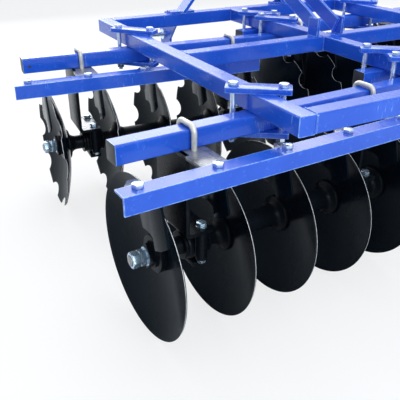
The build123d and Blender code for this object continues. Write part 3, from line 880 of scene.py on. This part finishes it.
def cap(shape, s, way, matrix):
    """Moulded cap pressed into a beam's end."""
    z = BEAM_UNDERSIDE + TUBE / 2
    h = TUBE / 2 - 0.4
    part = Shape()
    corner = arc(h - CAP_CORNER, h - CAP_CORNER, CAP_CORNER, 0, 90, 3)
    outline = []
    for k in range(4):
        c, d = math.cos(k * math.pi / 2), math.sin(k * math.pi / 2)
        outline += [(x * c - y * d, x * d + y * c) for x, y in corner]
    prism(part, outline, -2.0, 0.6, PLASTIC_AND_HOLE_SHADE)
    inset = [(x * 0.72, y * 0.72) for x, y in outline]
    prism(part, inset, 0, 1.0, PLASTIC_AND_HOLE_SHADE)
    turn = Matrix(((0, 0, way, s), (1, 0, 0, 0), (0, 1, 0, z), (0, 0, 0, 1)))
    shape.join(part, matrix @ turn)


# ---------------------------------------------------------------- frame

def rail_clamps():
    """Two bevelled plates and two long bolts at each crossing of a beam and a rail."""
    shape = Shape()
    up, down = (0, 0, 1), (0, 0, -1)
    a, b, bevel = CLAMP_HALF, CLAMP_SIDE, 3
    outline = [(-a, bevel - b), (bevel - a, -b), (a - bevel, -b), (a, bevel - b)]
    outline += [(a, b - bevel), (a - bevel, b), (bevel - a, b), (-a, b - bevel)]
    for name, gang in GANGS.items():
        for x in (0, gang["side"] * RAIL_X):
            slope = gang["side"] * math.tan(math.radians(gang["angle"]))
            y = SHIFT_Y + gang["cross_y"] + x * slope
            part = Shape()
            low, high = BEAM_UNDERSIDE - CLAMP_THICK, RAIL_TOP + CLAMP_THICK
            prism(part, outline, low, BEAM_UNDERSIDE, PAINT)
            prism(part, outline, RAIL_TOP, high, PAINT)
            for out in (-CLAMP_BOLT_OUT, CLAMP_BOLT_OUT):
                shank = [(0, 0), (0, BOLT_R), (high - low, BOLT_R), (high - low, 0)]
                lathe(part, shank, ZINC, 24, along((out, 0, low), up))
                bolt_head(part, (out, 0, high), up, BOLT_ACROSS, 10.5, ZINC, random.uniform(0, 1))
                washer(part, (out, 0, low), down, WASHER_R, 2.6, ZINC)
                nut(part, (out, 0, low - 2.6), down, BOLT_ACROSS, 13, ZINC, random.uniform(0, 1))
                thread(part, (out, 0, low - 15), down, BOLT_R, 8.5, ZINC)
            turn = Matrix.Rotation(math.radians(gang["clamp_turn"]), 4, "Z")
            shape.join(part, Matrix.Translation((x, y, 0)) @ turn)
    make("rail_clamp_plates", shape, "frame", 1.2, ["rail_clamps"])


def frame_welds():
    """Beads where the cross rails meet the rails, and at the hitch."""
    shape = Shape()
    h = TUBE / 2
    for y in (RAIL_END - h, 0, -RAIL_END + h):
        for x in (-RAIL_X + h, -h, h, RAIL_X - h):
            for side in (SHIFT_Y + y - h, SHIFT_Y + y + h):
                weld(shape, (x, side, BEAM_TOP + 3), (x, side, RAIL_TOP - 3))
            top = RAIL_TOP - 0.8
            weld(shape, (x, SHIFT_Y + y - h + 3, top), (x, SHIFT_Y + y + h - 3, top), 2.6)
    make("frame_welds", shape, "frame")


def paint_cad_nodes():
    """The frame's own tubes and flats keep their shape and take the paint."""
    slots = {row["node"]: row["material_slot"] for row in frame["record"]["subparts"]}
    finish = {"frame_paint": PAINT, "zinc_plate": ZINC, "black_paint": BLACK}
    finish["disc_enamel"] = ENAMEL
    for name, obj in frame["nodes"].items():
        mat = finish[slots[name]]
        obj.data.materials.clear()
        obj.data.materials.append(mat)


# ---------------------------------------------------------------- stage, light, camera

def stage():
    """A pale floor that keeps the machine's shadow, and shows nearly white to the camera."""
    bpy.ops.mesh.primitive_plane_add(size=60, location=(0, 0, 0))
    floor = bpy.context.object
    floor.name = "floor"
    mat = bpy.data.materials.new("floor")
    mat.use_nodes = True
    tree = mat.node_tree
    bsdf = tree.nodes["Principled BSDF"]
    bsdf.inputs["Base Color"].default_value = (0.86, 0.87, 0.88, 1)
    bsdf.inputs["Roughness"].default_value = 0.8
    white = tree.nodes.new("ShaderNodeEmission")
    white.inputs["Strength"].default_value = 1.0
    path = tree.nodes.new("ShaderNodeLightPath")
    share = tree.nodes.new("ShaderNodeMath")
    share.operation = "MULTIPLY"
    share.inputs[1].default_value = 0.72
    tree.links.new(path.outputs["Is Camera Ray"], share.inputs[0])
    mix = tree.nodes.new("ShaderNodeMixShader")
    tree.links.new(share.outputs["Value"], mix.inputs["Fac"])
    tree.links.new(bsdf.outputs["BSDF"], mix.inputs[1])
    tree.links.new(white.outputs["Emission"], mix.inputs[2])
    tree.links.new(mix.outputs["Shader"], tree.nodes["Material Output"].inputs["Surface"])
    floor.data.materials.append(mat)


def world():
    """Soft studio: white to the camera, plainer for the light itself."""
    w = bpy.data.worlds.new("studio")
    bpy.context.scene.world = w
    w.use_nodes = True
    tree = w.node_tree
    tree.nodes.clear()
    out = tree.nodes.new("ShaderNodeOutputWorld")
    light = tree.nodes.new("ShaderNodeBackground")
    light.inputs["Color"].default_value = (0.88, 0.95, 1.0, 1)
    light.inputs["Strength"].default_value = 0.6
    shown = tree.nodes.new("ShaderNodeBackground")
    shown.inputs["Color"].default_value = (1, 1, 1, 1)
    shown.inputs["Strength"].default_value = 1.0
    path = tree.nodes.new("ShaderNodeLightPath")
    seen = path.outputs["Is Camera Ray"]
    for kind in ("Is Glossy Ray", "Is Transmission Ray"):
        either = tree.nodes.new("ShaderNodeMath")
        either.operation = "MAXIMUM"
        tree.links.new(seen, either.inputs[0])
        tree.links.new(path.outputs[kind], either.inputs[1])
        seen = either.outputs["Value"]
    mix = tree.nodes.new("ShaderNodeMixShader")
    tree.links.new(seen, mix.inputs["Fac"])
    tree.links.new(light.outputs["Background"], mix.inputs[1])
    tree.links.new(shown.outputs["Background"], mix.inputs[2])
    tree.links.new(mix.outputs["Shader"], out.inputs["Surface"])


def area_light(name, place, target, size, power, color=(1, 1, 1), roll=0.0):
    """A rectangular light aimed at a point, and rolled about its own axis in degrees."""
    data = bpy.data.lights.new(name, "AREA")
    data.shape = "RECTANGLE"
    data.size, data.size_y = size
    data.energy = power
    data.color = color
    obj = bpy.data.objects.new(name, data)
    obj.location = place
    aim = (Vector(target) - Vector(place)).to_track_quat("-Z", "Y").to_matrix()
    obj.rotation_euler = (aim @ Matrix.Rotation(math.radians(roll), 3, "Z")).to_euler()
    bpy.context.scene.collection.objects.link(obj)


def camera():
    """Looks at the left rear corner from behind, a little above the machine."""
    yaw, pitch, roll = math.radians(28.95), math.radians(28.29), math.radians(0.25)
    ahead = Vector((math.sin(yaw) * math.cos(pitch), math.cos(yaw) * math.cos(pitch), -math.sin(pitch)))
    right = Vector((math.cos(yaw), -math.sin(yaw), 0))
    up = right.cross(ahead)
    level = right * math.cos(roll) + up * math.sin(roll)
    up = level.cross(ahead)
    data = bpy.data.cameras.new("camera")
    data.sensor_width = 36
    data.lens = 50.3
    obj = bpy.data.objects.new("camera", data)
    basis = Matrix((level, up, -ahead)).transposed().to_4x4()
    obj.matrix_world = Matrix.Translation((-1.3965, -1.6288, 1.0562)) @ basis
    bpy.context.scene.collection.objects.link(obj)
    bpy.context.scene.camera = obj


for gang_name in GANGS:
    rolling_gang(gang_name)
carried_parts()
rail_clamps()
beam_holes()
frame_welds()
paint_cad_nodes()
stage()
world()
area_light("overhead", (0.3, 0.5, 4.2), (0, 0, 0.4), (4.5, 4.5), 80)
area_light("behind", (1.2, 4.0, 3.15), (1.2, 0, 2.75), (7.2, 2.6), 240, roll=-26)
area_light("key", (-0.6, -4.4, 2.4), (0, 0, 0.4), (2.8, 2.2), 110, (0.86, 0.95, 1.0))
camera()
bpy.context.scene.view_settings.view_transform = "Standard"
